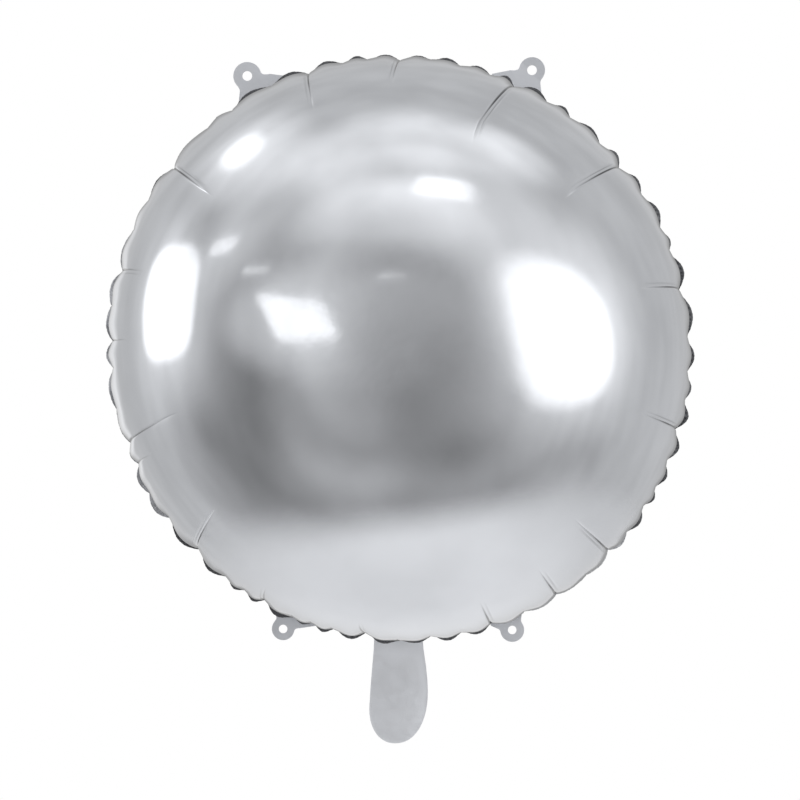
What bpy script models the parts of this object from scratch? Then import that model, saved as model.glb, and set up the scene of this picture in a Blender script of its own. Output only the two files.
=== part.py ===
"""Round foil balloon, filled: two foil sheets welded round their rim, four hanging tabs and a filling neck.

Metres, +Z up. The origin is the middle of the envelope, the front sheet faces -Y and the neck hangs along -Z.
Angles round the rim are in degrees, clockwise from the top as seen from the front.
"""

import math

import bmesh
import bpy
from mathutils import Matrix, Vector

# Sizes that drive the rest
FLAT_DIAMETER = 0.590
INFLATED_SHARE = 0.7627
RIM_RADIUS = INFLATED_SHARE * FLAT_DIAMETER / 2
WALL = 0.010
FILM = 0.0010
GAP = 0.0003

# The rim is slightly oval, longer along this direction
OVAL = 0.0019
OVAL_TOWARDS = 320

# Rim seal: how far it reaches in between the sheets, and how far it stands out at a pleat and between two
SEAL_INSIDE = 0.0065
SEAL_AT_PLEAT = 0.0005
SEAL_BETWEEN = 0.0040
SEAL_WAVE = 0.0025
WAVE_DIES_WITHIN = 0.012
SHEET_SEAT = FILM / 2 + GAP

# Pleats round the rim: angle in degrees, depth at the rim in mm, and how far in the crease runs in mm. Each draws
# the film in as far as VALLEY_REACH at least.
PLEATS = (
    (0.5, 4.5, 45), (6.5, 1.5, 18), (12.5, 3.0, 20), (19.0, 4.0, 20), (24.0, 6.0, 58), (31.5, 4.0, 20),
    (37.0, 4.0, 20), (45.0, 4.5, 20), (51.0, 7.0, 50), (58.0, 4.0, 20), (65.5, 3.5, 28), (70.5, 4.0, 20),
    (78.5, 6.0, 46), (88.0, 4.5, 20), (95.0, 4.5, 20), (100.5, 3.0, 20), (106.5, 6.0, 44), (113.0, 4.5, 20),
    (118.5, 3.0, 20), (123.0, 5.0, 20), (129.0, 2.5, 18), (134.0, 4.5, 44), (140.5, 1.5, 18), (147.5, 3.0, 40),
    (154.5, 3.5, 20), (161.5, 4.0, 34), (167.5, 3.0, 20), (173.5, 4.0, 20), (180.0, 2.5, 18), (186.5, 6.0, 26),
    (193.0, 3.5, 20), (197.5, 3.0, 18), (202.5, 2.0, 18), (208.0, 5.0, 26), (212.5, 3.0, 18), (217.0, 3.5, 20),
    (224.5, 6.5, 50), (233.5, 5.0, 20), (240.0, 1.5, 18), (246.0, 5.0, 28), (250.5, 5.0, 52), (258.0, 1.5, 18),
    (266.0, 5.0, 28), (271.5, 4.5, 34), (278.5, 1.5, 18), (285.5, 5.0, 40), (294.0, 2.5, 20), (300.5, 2.5, 20),
    (308.5, 5.5, 48), (319.0, 2.5, 20), (325.0, 4.0, 26), (334.0, 2.0, 18), (342.0, 4.5, 40), (349.0, 3.0, 20),
    (354.0, 2.5, 20),
)
BUMP_ROUNDNESS = 2.2
VALLEY_REACH = 0.048
STEPS_ACROSS_BUMP = (0.0, 0.2, 0.5, 0.8)

# Distances in from the rim, along the film, at which rings of points lie, and how many points share each bump
OUTER_RINGS = (
    (0.000, 4), (0.003, 4), (0.008, 4), (0.015, 4), (0.024, 4), (0.037, 2), (0.054, 2),
    (0.078, 1), (0.102, 1), (0.130, 1), (0.160, 0), (0.190, 0), (0.220, 0), (0.255, 0),
)
INNER_RINGS = ((0.000, 4), (0.012, 1), (0.040, 1), (0.075, 0), (0.115, 0), (0.160, 0), (0.205, 0), (0.250, 0))
PLAIN_RING_POINTS = 32

# Tabs, in mm: where each folds, its hole and ring, how wide it is along the fold line (left and right of its
# middle, seen with its ring up), and the two feet of the web under it (along the rim, and below the fold line)
TABS = {
    "tab_upper_left": {
        "angle": 330.8, "fold": 233.7, "to_hole": 7.1, "hole": 3.75, "ring": 10.8,
        "root": (-9.5, 12.4), "feet": ((-16.5, -8.5), (28.6, -9.2)),
    },
    "tab_upper_right": {
        "angle": 25.4, "fold": 230.5, "to_hole": 7.1, "hole": 3.75, "ring": 10.3,
        "root": (-10.8, 10.1), "feet": ((-23.7, -6.0), (14.1, -5.5)),
    },
    "tab_lower_right": {
        "angle": 158.2, "fold": 228.4, "to_hole": 5.0, "hole": 3.3, "ring": 9.2,
        "root": (-9.4, 10.0), "feet": ((-11.5, -4.0), (14.0, -4.0)),
    },
    "tab_lower_left": {
        "angle": 202.6, "fold": 228.5, "to_hole": 5.4, "hole": 3.3, "ring": 8.7,
        "root": (-11.5, 7.8), "feet": ((-20.8, -4.0), (10.5, -5.0)),
    },
}

# How far below the hole's middle, in degrees round the ring, its sides start to sweep out
RING_ENDS_BELOW = 18

# Neck: fold line below the middle, half widths at the fold and at the widest, and where the round end starts
NECK_ANGLE = 180
NECK_FOLD = 0.2310
NECK_HALF_AT_FOLD = 0.0190
NECK_HALF_AT_WIDEST = 0.0222
NECK_STRAIGHT = 0.0500
NECK_END = 0.0236
PLY = 0.0005
PLY_SLIT = 0.0003

# Film standing out of the seal at each tab and at the neck starts this far from the middle and stops short of
# the fold line, along which the flap has a round bead
WEB_FROM = 0.2180
WEB_THICKNESS = 0.0008
BEAD = FILM / 2
FLAP_THICKNESS = 0.0009
WEB_STOPS_SHORT = BEAD + GAP
SEAL_STOPS_SHORT = 0.0015
HELD_FLAT_WITHIN = 9

SILVER = (0.72, 0.73, 0.74, 1)


def clear_scene():
    for thing in list(bpy.data.objects):
        bpy.data.objects.remove(thing)


def foil(name, roughness):
    material = bpy.data.materials.new(name)
    material.use_nodes = True
    shader = material.node_tree.nodes["Principled BSDF"]
    shader.inputs["Base Color"].default_value = SILVER
    shader.inputs["Metallic"].default_value = 1
    shader.inputs["Roughness"].default_value = roughness
    return material


def node_from(name, shape, material):
    """An object from a bmesh, smooth across all but its sharp edges."""
    bmesh.ops.recalc_face_normals(shape, faces=shape.faces)
    mesh = bpy.data.meshes.new(name)
    shape.to_mesh(mesh)
    shape.free()
    mesh.shade_smooth()
    mesh.set_sharp_from_angle(angle=math.radians(40))
    mesh.materials.append(material)
    made = bpy.data.objects.new(name, mesh)
    bpy.context.scene.collection.objects.link(made)
    return made


def outward(angle):
    """The direction from the middle to a place on the rim."""
    turn = math.radians(angle)
    return Vector((math.sin(turn), 0, math.cos(turn)))


# Profile of the filled film: r is the distance from the Y axis and h the height above the rim's plane.
# Film that can't stretch but wrinkles freely fills to the curve on which r squared is R squared times the sine of
# a parameter, and both the height and the distance along the film come from it.


def film_profile(steps=4000):
    """(distance along the film from the rim, r, h) from the rim to the pole."""
    rows = [(0.0, RIM_RADIUS, 0.0)]
    step = math.pi / 2 / steps
    along, height = 0.0, 0.0
    for k in range(steps):
        sine = math.sin(math.pi / 2 - (k + 0.5) * step)
        along += RIM_RADIUS / 2 * step / math.sqrt(sine)
        height += RIM_RADIUS / 2 * step * math.sqrt(sine)
        r = RIM_RADIUS * math.sqrt(max(0.0, math.sin(math.pi / 2 - (k + 1) * step)))
        rows.append((along, r, height))
    return rows


PROFILE = film_profile()
POLE_HEIGHT = PROFILE[-1][2]


def on_profile(along):
    """r, h and the outward normal at a distance along the film from the rim."""
    for before, after in zip(PROFILE, PROFILE[1:]):
        if after[0] >= along:
            break
    share = (along - before[0]) / (after[0] - before[0])
    r = before[1] + share * (after[1] - before[1])
    h = before[2] + share * (after[2] - before[2])
    slope = Vector((after[1] - before[1], after[2] - before[2])).normalized()
    return r, h, Vector((slope.y, -slope.x))


# Pleats and the bumps between them


def bump_at(angle):
    """The pleats on either side of a rim angle, and how far across the bump between them it lies, 0 to 1."""
    count = len(PLEATS)
    for k in range(count):
        here, there = PLEATS[k], PLEATS[(k + 1) % count]
        width = (there[0] - here[0]) % 360
        past = (angle - here[0]) % 360
        if past < width:
            return k, (k + 1) % count, past / width
    return count - 1, 0, 0.0


def bump_shape(across):
    """0 at a pleat and 1 in the middle of a bump."""
    return 1 - abs(2 * across - 1) ** BUMP_ROUNDNESS


def oval(angle):
    return OVAL * math.cos(2 * math.radians(angle - OVAL_TOWARDS))


def reach_of(pleat, side):
    """How far in a crease runs. The sheets share the pleats at the rim, but the long creases differ."""
    return max(VALLEY_REACH, PLEATS[(pleat + (0 if side < 0 else 1)) % len(PLEATS)][2] / 1000)


def drawn_in(angle, along, side):
    """How deep the film lies below the smooth profile. A valley keeps most of its depth near the rim, so that it
    shows as a notch from the front."""
    left, right, across = bump_at(angle)
    depths = []
    for pleat in (left, right):
        fade = (1 + math.cos(math.pi * min(1, along / reach_of(pleat, side)))) / 2
        depths.append(PLEATS[pleat][1] / 1000 * fade)
    depth = depths[0] + (depths[1] - depths[0]) * across
    return depth * (1 - bump_shape(across))


def turn_between(a, b):
    return abs((a - b + 180) % 360 - 180)


def held_flat(left, right):
    """True for a bump where a tab or the neck keeps the seal flat."""
    spots = [tab["angle"] for tab in TABS.values()] + [NECK_ANGLE]
    pleats = (PLEATS[left][0], PLEATS[right][0])
    return any(turn_between(pleat, spot) < HELD_FLAT_WITHIN for pleat in pleats for spot in spots)


def wave(angle):
    """How far the seal swings forward or back, turn about from bump to bump."""
    left, right, across = bump_at(angle)
    if held_flat(left, right):
        return 0.0
    return SEAL_WAVE * (-1) ** left * math.sin(math.pi * across)


def rim_angles(per_bump):
    """The rim angles of a ring's points: 4, 2 or 1 for each bump, or 0 for an even ring."""
    if per_bump == 0:
        return [360 * k / PLAIN_RING_POINTS for k in range(PLAIN_RING_POINTS)]
    steps = {4: STEPS_ACROSS_BUMP, 2: (0.0, 0.5), 1: (0.0,)}[per_bump]
    angles = []
    for k, pleat in enumerate(PLEATS):
        width = (PLEATS[(k + 1) % len(PLEATS)][0] - pleat[0]) % 360
        angles += [(pleat[0] + width * step) % 360 for step in steps]
    return sorted(angles)


# Envelope sheets


def sheet_point(angle, along, side, inner):
    """A point of a sheet's outer or inner face. side is -1 for the front sheet and 1 for the back one."""
    r, h, normal = on_profile(along)
    fade = r / RIM_RADIUS
    depth = WALL if inner else drawn_in(angle, along, side)
    seat = SHEET_SEAT * max(0.0, 1 - h / POLE_HEIGHT)
    swing = wave(angle) * max(0.0, 1 - along / WAVE_DIES_WITHIN)
    r_here = r - depth * normal.x + oval(angle) * fade
    height = max(h - depth * normal.y, 0.0) + seat
    return outward(angle) * r_here + Vector((0, side * height + swing, 0))


def add_ring(shape, rings, side, inner):
    made = []
    for along, per_bump in rings:
        angles = rim_angles(per_bump)
        points = [shape.verts.new(sheet_point(a, along, side, inner)) for a in angles]
        made.append((angles, points))
    return made


def zip_rings(shape, first, second):
    """Triangles between two rings, each a list of angles and its points, taking the next point of either in turn."""
    (angles_a, points_a), (angles_b, points_b) = first, second
    count_a, count_b = len(points_a), len(points_b)
    a = b = 0
    while a < count_a or b < count_b:
        next_a = angles_a[a + 1] if a + 1 < count_a else 360 + angles_a[0] if a < count_a else 999
        next_b = angles_b[b + 1] if b + 1 < count_b else 360 + angles_b[0] if b < count_b else 999
        here_a, here_b = points_a[a % count_a], points_b[b % count_b]
        if next_a <= next_b:
            shape.faces.new((here_a, points_a[(a + 1) % count_a], here_b))
            a += 1
        else:
            shape.faces.new((here_a, points_b[(b + 1) % count_b], here_b))
            b += 1


def close_pole(shape, ring, side, depth):
    pole = shape.verts.new((0, side * (POLE_HEIGHT - depth), 0))
    points = ring[1]
    for k, point in enumerate(points):
        shape.faces.new((point, points[(k + 1) % len(points)], pole))


def make_sheet(name, side, material):
    """One foil sheet as a domed wall, with its pleats cut into the outer face."""
    shape = bmesh.new()
    outer = add_ring(shape, OUTER_RINGS, side, inner=False)
    inner = add_ring(shape, INNER_RINGS, side, inner=True)
    for rings in (outer, inner):
        for first, second in zip(rings, rings[1:]):
            zip_rings(shape, first, second)
    zip_rings(shape, outer[0], inner[0])
    close_pole(shape, outer[-1], side, 0)
    close_pole(shape, inner[-1], side, WALL)
    return node_from(name, shape, material)


# Rim seal


def rim_radius(angle):
    return RIM_RADIUS + oval(angle) - drawn_in(angle, 0, -1)


def seal_radius(angle):
    """The seal's outer edge. Near a tab or the neck it stays behind the fold line."""
    radius = rim_radius(angle) + SEAL_AT_PLEAT + SEAL_BETWEEN * bump_shape(bump_at(angle)[2])
    folds = [(tab["angle"], tab["fold"] / 1000) for tab in TABS.values()] + [(NECK_ANGLE, NECK_FOLD)]
    for spot, fold in folds:
        away = math.radians(turn_between(angle, spot))
        if away < math.radians(HELD_FLAT_WITHIN):
            radius = min(radius, (fold - SEAL_STOPS_SHORT) / math.cos(away))
    return radius


def make_band():
    """The welded margin of both sheets, one closed wavy strip round the rim."""
    shape = bmesh.new()
    loops = []
    for angle in rim_angles(4):
        middle = Vector((0, wave(angle), 0))
        edges = (rim_radius(angle) - SEAL_INSIDE, seal_radius(angle))
        corners = [(edges[0], -1), (edges[1], -1), (edges[1], 1), (edges[0], 1)]
        places = [outward(angle) * r + middle + Vector((0, side * FILM / 2, 0)) for r, side in corners]
        loops.append([shape.verts.new(place) for place in places])
    for here, there in zip(loops, loops[1:] + loops[:1]):
        for k in range(4):
            shape.faces.new((here[k], here[(k + 1) % 4], there[(k + 1) % 4], there[k]))
    return shape


def frame_at(angle, distance):
    """Placement whose x runs clockwise along the rim, y backwards and z outwards."""
    out = outward(angle)
    along = Vector((0, 1, 0)).cross(out)
    axes = Matrix((along, Vector((0, 1, 0)), out)).transposed().to_4x4()
    return Matrix.Translation(out * distance) @ axes


def plate(outline, thickness, place):
    """A flat plate from an outline in x and z, centred on y = 0."""
    shape = bmesh.new()
    front = [shape.verts.new((x, -thickness / 2, z)) for x, z in outline]
    face = shape.faces.new(front)
    grown = bmesh.ops.extrude_face_region(shape, geom=[face])
    moved = [part for part in grown["geom"] if isinstance(part, bmesh.types.BMVert)]
    bmesh.ops.translate(shape, verts=moved, vec=(0, thickness, 0))
    bmesh.ops.transform(shape, matrix=place, verts=shape.verts)
    return shape


def web_outline(root, feet, fold):
    """The film between the seal and a fold line: straight below the fold, running out to a foot on each side."""
    deep = WEB_FROM - fold
    (left_x, left_z), (right_x, right_z) = feet
    top = [(root[0], -WEB_STOPS_SHORT), (root[1], -WEB_STOPS_SHORT)]
    return top + [(right_x, right_z), (right_x, deep), (left_x, deep), (left_x, left_z)]


def as_helper(shape, name):
    """A hidden solid that only serves a Boolean."""
    bmesh.ops.recalc_face_normals(shape, faces=shape.faces)
    mesh = bpy.data.meshes.new(name)
    shape.to_mesh(mesh)
    shape.free()
    made = bpy.data.objects.new(name, mesh)
    bpy.context.scene.collection.objects.link(made)
    made.hide_render = True
    made.display_type = "WIRE"
    return made


def combine(target, helper, operation):
    modifier = target.modifiers.new(helper.name, "BOOLEAN")
    modifier.operation = operation
    modifier.object = helper


def in_metres(*pairs):
    return [tuple(value / 1000 for value in pair) for pair in pairs]


def make_seal(material):
    """The band and, welded to it, the webs that carry the tabs and the neck."""
    seal = node_from("rim_seal", make_band(), material)
    webs = {}
    for name, tab in TABS.items():
        root, *feet = in_metres(tab["root"], *tab["feet"])
        webs[name] = (tab["angle"], tab["fold"] / 1000, root, feet)
    root = (-NECK_HALF_AT_FOLD, NECK_HALF_AT_FOLD)
    feet = [(x, WEB_FROM - NECK_FOLD + 0.001) for x in root]
    webs["neck"] = (NECK_ANGLE, NECK_FOLD, root, feet)
    for name, (angle, fold, root, feet) in webs.items():
        web = plate(web_outline(root, feet, fold), WEB_THICKNESS, frame_at(angle, fold))
        combine(seal, as_helper(web, name + "_web"), "UNION")
    return seal


# Hanging tabs


def arc(centre, radius, start, stop, steps):
    """Points on an arc in x and z, angles in degrees from +x."""
    points = []
    for k in range(steps + 1):
        turn = math.radians(start + (stop - start) * k / steps)
        points.append((centre[0] + radius * math.cos(turn), centre[1] + radius * math.sin(turn)))
    return points


def fillet(start, control, end, steps=4):
    """A curve from start to end that bends towards control, without its first point."""
    points = []
    for k in range(1, steps + 1):
        t = k / steps
        points.append(
            tuple((1 - t) ** 2 * a + 2 * t * (1 - t) * b + t**2 * c for a, b, c in zip(start, control, end))
        )
    return points


def flap_outline(ring, to_hole, root):
    """A ring whose sides sweep out, one on each side, to its root on the fold line."""
    crown = arc((0, to_hole), ring, -RING_ENDS_BELOW, 180 + RING_ENDS_BELOW, 20)
    inwards = math.tan(math.radians(RING_ENDS_BELOW))
    sweeps = []
    for start, end, side in ((crown[0], root[1], 1), (crown[-1], root[0], -1)):
        down = 0.6 * start[1]
        control = (start[0] - side * down * inwards, start[1] - down)
        sweeps.append(fillet(start, control, (end, 0)))
    return sweeps[0][::-1] + crown + sweeps[1]


def make_tab(name, tab, material):
    """A round tab with a punched hole, ending on its fold line in a round bead about which it turns."""
    place = frame_at(tab["angle"], tab["fold"] / 1000)
    ring, to_hole, hole = (tab[key] / 1000 for key in ("ring", "to_hole", "hole"))
    [root] = in_metres(tab["root"])
    flap = node_from(name, plate(flap_outline(ring, to_hole, root), FLAP_THICKNESS, place), material)

    bead = bmesh.new()
    along_fold = Matrix.Translation(((root[0] + root[1]) / 2, 0, 0)) @ Matrix.Rotation(math.radians(90), 4, "Y")
    bmesh.ops.create_cone(
        bead, cap_ends=True, segments=12, radius1=BEAD, radius2=BEAD,
        depth=root[1] - root[0] - 2 * FLAP_THICKNESS, matrix=place @ along_fold,
    )
    combine(flap, as_helper(bead, name + "_bead"), "UNION")

    punch = bmesh.new()
    through = Matrix.Translation((0, 0, to_hole)) @ Matrix.Rotation(math.radians(90), 4, "X")
    bmesh.ops.create_cone(
        punch, cap_ends=True, segments=24, radius1=hole, radius2=hole, depth=FILM * 4, matrix=place @ through,
    )
    combine(flap, as_helper(punch, name + "_punch"), "DIFFERENCE")
    return flap


# Filling neck


def neck_outline():
    """From the fold line down: slightly wider towards a round end."""
    side = []
    for k in range(6):
        share = k / 5
        half = NECK_HALF_AT_FOLD + (NECK_HALF_AT_WIDEST - NECK_HALF_AT_FOLD) * math.sin(math.pi / 2 * share)
        side.append((half, NECK_STRAIGHT * share))
    end = []
    for k in range(1, 16):
        turn = math.pi * k / 16
        end.append((NECK_HALF_AT_WIDEST * math.cos(turn), NECK_STRAIGHT + NECK_END * math.sin(turn)))
    return side + end + [(-x, z) for x, z in reversed(side)]


def make_ply(name, side, material):
    """One of the neck's two plies. It ends on the fold line, thin enough to turn there clear of the web."""
    place = frame_at(NECK_ANGLE, NECK_FOLD)
    middle = side * (PLY_SLIT / 2 + PLY / 2)
    ply = plate(neck_outline(), PLY, place @ Matrix.Translation((0, middle, 0)))
    return node_from(name, ply, material)


def main():
    clear_scene()
    sheet_foil = foil("foil", 0.12)
    seal_foil = foil("sealed foil", 0.30)
    make_sheet("front_sheet", -1, sheet_foil)
    make_sheet("back_sheet", 1, sheet_foil)
    make_seal(seal_foil)
    for name, tab in TABS.items():
        make_tab(name, tab, seal_foil)
    make_ply("neck_front_ply", -1, seal_foil)
    make_ply("neck_back_ply", 1, seal_foil)


main()
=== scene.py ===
"""Looks of the round foil balloon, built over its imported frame.

Metres, +Z up. The front sheet faces -Y. Angles round the rim are in degrees, clockwise from the top, seen
from the front.
"""

import math

import bpy
import numpy as np
from mathutils import Matrix, Vector


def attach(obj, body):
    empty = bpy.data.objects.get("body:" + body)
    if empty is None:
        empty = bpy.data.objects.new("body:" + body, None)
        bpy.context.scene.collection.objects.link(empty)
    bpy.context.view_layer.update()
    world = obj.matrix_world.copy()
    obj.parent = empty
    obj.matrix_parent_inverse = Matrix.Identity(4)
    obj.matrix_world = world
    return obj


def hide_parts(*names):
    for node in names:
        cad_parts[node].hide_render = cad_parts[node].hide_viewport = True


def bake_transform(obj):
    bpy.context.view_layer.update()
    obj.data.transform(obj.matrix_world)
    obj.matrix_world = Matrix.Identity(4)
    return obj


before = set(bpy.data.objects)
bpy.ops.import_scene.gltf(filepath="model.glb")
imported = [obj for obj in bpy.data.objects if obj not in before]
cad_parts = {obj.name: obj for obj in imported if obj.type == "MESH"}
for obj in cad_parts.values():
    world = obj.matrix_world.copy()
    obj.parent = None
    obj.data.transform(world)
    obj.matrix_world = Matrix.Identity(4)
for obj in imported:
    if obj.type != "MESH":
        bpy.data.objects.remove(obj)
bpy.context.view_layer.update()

# Camera: a long lens straight in front, level, a little under the middle of the balloon. The frame takes in
# 62 cm at the plane of the rim.
MILLIMETRES = 1000
SENSOR_WIDTH = 0.036
FOCAL_LENGTH = 0.135
FRAME_WIDTH_AT_RIM = 0.6164
CAMERA_ACROSS = 0.0002
CAMERA_HEIGHT = -0.0395

camera_distance = FRAME_WIDTH_AT_RIM * FOCAL_LENGTH / SENSOR_WIDTH
bpy.ops.object.camera_add(
    location=(CAMERA_ACROSS, -camera_distance, CAMERA_HEIGHT), rotation=(math.pi / 2, 0, 0)
)
camera = bpy.context.object
camera.data.sensor_width = SENSOR_WIDTH * MILLIMETRES
camera.data.lens = FOCAL_LENGTH * MILLIMETRES
bpy.context.scene.camera = camera
bpy.context.scene.view_settings.view_transform = "Standard"

# Floor: a sheet of white paper under the balloon. The foil reflects it. A pool of light is painted into its
# colour, white round one bright spot and greyer away from it, and it fades out towards its oval edge. The
# camera sees plain white instead.
# Distances on the paper are those before it is stretched to an oval.
FLOOR_HEIGHT = -0.72
FLOOR_RADIUS = 1.25
FLOOR_CORNERS = 128
FLOOR_STRETCH = (0.90, 1.36, 1)
FLOOR_CENTRE = (0.20, 0.45)
PAPER_WHITE = 0.98
PAPER_PAINTED_SHADE = 0.72
PAINTED_LIGHT_SPOT = (-0.17, -0.48, 0)
PAINTED_LIGHT_FALLS_OVER = (0.2, 1.0)
PAPER_FADES_OVER = (0.78, 1.22)
PAPER_ROUGHNESS = 0.9
PAPER_SPECULAR = 0.1


def add_link(tree, source, target):
    tree.links.new(source, target)


def math_node(tree, operation, first, second):
    node = tree.nodes.new("ShaderNodeMath")
    node.operation = operation
    for socket, value in zip(node.inputs, (first, second)):
        if isinstance(value, (int, float)):
            socket.default_value = value
        else:
            add_link(tree, value, socket)
    return node.outputs[0]


def vector_node(tree, operation, vector, other=None):
    node = tree.nodes.new("ShaderNodeVectorMath")
    node.operation = operation
    add_link(tree, vector, node.inputs[0])
    if other is not None:
        node.inputs[1].default_value = other
    return node.outputs


def ease(tree, value, over, low_gives, high_gives):
    """A smooth step from low_gives to high_gives, over a span of value."""
    node = tree.nodes.new("ShaderNodeMapRange")
    node.interpolation_type = "SMOOTHSTEP"
    node.inputs["From Min"].default_value = over[0]
    node.inputs["From Max"].default_value = over[1]
    node.inputs["To Min"].default_value = low_gives
    node.inputs["To Max"].default_value = high_gives
    add_link(tree, value, node.inputs["Value"])
    return node.outputs["Result"]


def white_paper():
    material = bpy.data.materials.new("white paper")
    material.use_nodes = True
    tree = material.node_tree
    shader = tree.nodes["Principled BSDF"]
    shader.inputs["Roughness"].default_value = PAPER_ROUGHNESS
    shader.inputs["Specular IOR Level"].default_value = PAPER_SPECULAR
    place = tree.nodes.new("ShaderNodeTexCoord").outputs["Object"]
    # Painted light: the paper's colour is white at the bright spot and greyer away from it.
    from_painted_spot = vector_node(tree, "DISTANCE", place, PAINTED_LIGHT_SPOT)["Value"]
    tone = ease(tree, from_painted_spot, PAINTED_LIGHT_FALLS_OVER, PAPER_WHITE, PAPER_PAINTED_SHADE)
    add_link(tree, tone, shader.inputs["Base Color"])

    from_middle = vector_node(tree, "LENGTH", place)["Value"]
    faded = ease(tree, from_middle, PAPER_FADES_OVER, 0, 1)
    from_below = tree.nodes.new("ShaderNodeNewGeometry").outputs["Backfacing"]
    by_camera = tree.nodes.new("ShaderNodeLightPath").outputs["Is Camera Ray"]
    hidden = math_node(tree, "MAXIMUM", math_node(tree, "MAXIMUM", from_below, by_camera), faded)
    clear = tree.nodes.new("ShaderNodeBsdfTransparent")
    either = tree.nodes.new("ShaderNodeMixShader")
    add_link(tree, hidden, either.inputs["Fac"])
    add_link(tree, shader.outputs["BSDF"], either.inputs[1])
    add_link(tree, clear.outputs["BSDF"], either.inputs[2])
    add_link(tree, either.outputs["Shader"], tree.nodes["Material Output"].inputs["Surface"])
    return material


bpy.ops.mesh.primitive_circle_add(
    vertices=FLOOR_CORNERS, radius=FLOOR_RADIUS, fill_type="NGON", location=(*FLOOR_CENTRE, FLOOR_HEIGHT)
)
floor = bpy.context.object
floor.name = "floor"
floor.scale = FLOOR_STRETCH
floor.data.materials.append(white_paper())

# Room: what surrounds the balloon, as a brightness for each direction. The side behind the camera is dim, the
# backdrop is a little lighter, and the ceiling and the sides are light. The camera itself sees plain white.
ROOM_FRONT = 0.25
ROOM_SIDES = 0.62
BACKDROP = 0.34
BACKDROP_ENDS = (-0.99, -0.80)
FRONT_DIMS = (0.1, 0.85)
CLUTTER = 0.07
CLUTTER_FINENESS = 4.0
CLUTTER_DETAIL = 3
CLUTTER_DRAWN_UP = (1, 1, 0.35)
NOISE_SPAN = (0.3, 0.7)

# The softboxes, the window and the light that they throw on the walls, all soft at their edges. Each has the
# direction of its middle, half its width and half its height as tangents, how far it turns anticlockwise and
# how far its uprights lean clockwise, how square it is (2 for an ellipse), the share of its size over which
# its edge fades, and how much brighter than the wall it is. A negative one is a dark patch. The window, seen
# at an angle, is lower at its far side.
WINDOW_NARROWS = 0.40

PANELS = (
    ("key softbox", (0.595, -0.72, 0.07), 0.375, 0.265, 0, -10, 2.5, 0.16, 0.75),
    ("key glow", (0.66, -0.72, 0.11), 0.52, 0.43, 0, 0, 2, 0.47, 0.62),
    ("key curtain", (0.31, -0.945, 0.13), 0.13, 0.17, 0, 0, 2, 0.50, 0.18),
    ("left softbox", (-0.953, -0.178, 0.185), 0.342, 0.243, 4.6, -12, 3.0, 0.09, 0.72),
    ("left glow", (-0.93, -0.28, 0.18), 0.47, 0.36, 0, 0, 2, 0.60, 0.38),
    ("window", (-0.279, -0.954, 0.092), 0.148, 0.062, -7.5, -45, 8, 0.13, 0.78),
    ("window glow", (-0.33, -0.93, 0.10), 0.32, 0.15, 0, 0, 2, 0.50, 0.42),
    ("ceiling softbox", (0.174, -0.790, 0.586), 0.114, 0.074, -2.9, 17, 5, 0.14, 0.70),
    ("ceiling glow", (0.09, -0.63, 0.77), 0.45, 0.44, 0, 0, 2, 0.46, 0.54),
    ("ceiling edge", (-0.03, -0.903, 0.430), 0.30, 0.20, 0, 0, 2, 0.42, 0.36),
    ("ceiling band", (0.11, -0.635, 0.765), 0.22, 0.09, 0, 0, 2, 0.60, 0.16),
    ("ceiling patch", (0.483, -0.30, 0.82), 0.17, 0.17, 0, 0, 2, 0.70, 0.30),
    ("upper left softbox", (-0.618, 0.0, 0.786), 0.17, 0.092, 0, 0, 2.4, 0.45, 0.66),
    ("upper left glow", (-0.59, -0.08, 0.80), 0.40, 0.20, 0, 0, 2, 0.70, 0.43),
    ("left wall", (-0.48, -0.65, 0.58), 0.34, 0.32, 0, 0, 2, 0.60, 0.34),
    ("back window", (-0.45, 0.89, 0.00), 0.24, 0.24, 0, 0, 2, 0.42, 0.32),
    ("upper wall", (-0.28, -0.925, 0.26), 0.18, 0.17, 0, 0, 2, 0.60, 0.10),
    ("middle wall", (-0.135, -0.99, -0.05), 0.12, 0.16, 0, 0, 2, 0.50, 0.11),
    ("front wall", (-0.20, -0.93, -0.25), 0.25, 0.25, 0, 0, 2, 0.45, 0.14),
    ("paper corner", (0.58, -0.53, -0.62), 0.24, 0.20, 0, 0, 2, 0.50, 0.18),
    ("paper edge", (0.05, -0.853, -0.513), 0.48, 0.20, 0, 0, 2, 0.45, 0.15),
    ("dark corner", (-0.77, -0.34, -0.54), 0.34, 0.30, 0, 0, 2, 0.50, -0.13),
    ("dark gap", (-0.83, -0.30, 0.475), 0.19, 0.13, 0, 0, 2, 0.60, -0.22),
    ("dark stand", (0.15, -0.97, -0.18), 0.24, 0.24, 0, 0, 2, 0.42, -0.03),
    ("small panel", (-0.712, -0.573, 0.415), 0.106, 0.035, 3, 6, 3, 0.22, 0.66),
    ("small strip", (-0.506, -0.818, 0.277), 0.086, 0.013, -8, 0, 5, 0.20, 0.60),
    ("thin strip", (-0.014, -0.99, 0.143), 0.026, 0.008, -5, 0, 5, 0.25, 0.55),
)


def measure(tree, looking, way):
    """How far the view direction goes along a given one."""
    return vector_node(tree, "DOT_PRODUCT", looking, way)["Value"]


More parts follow.
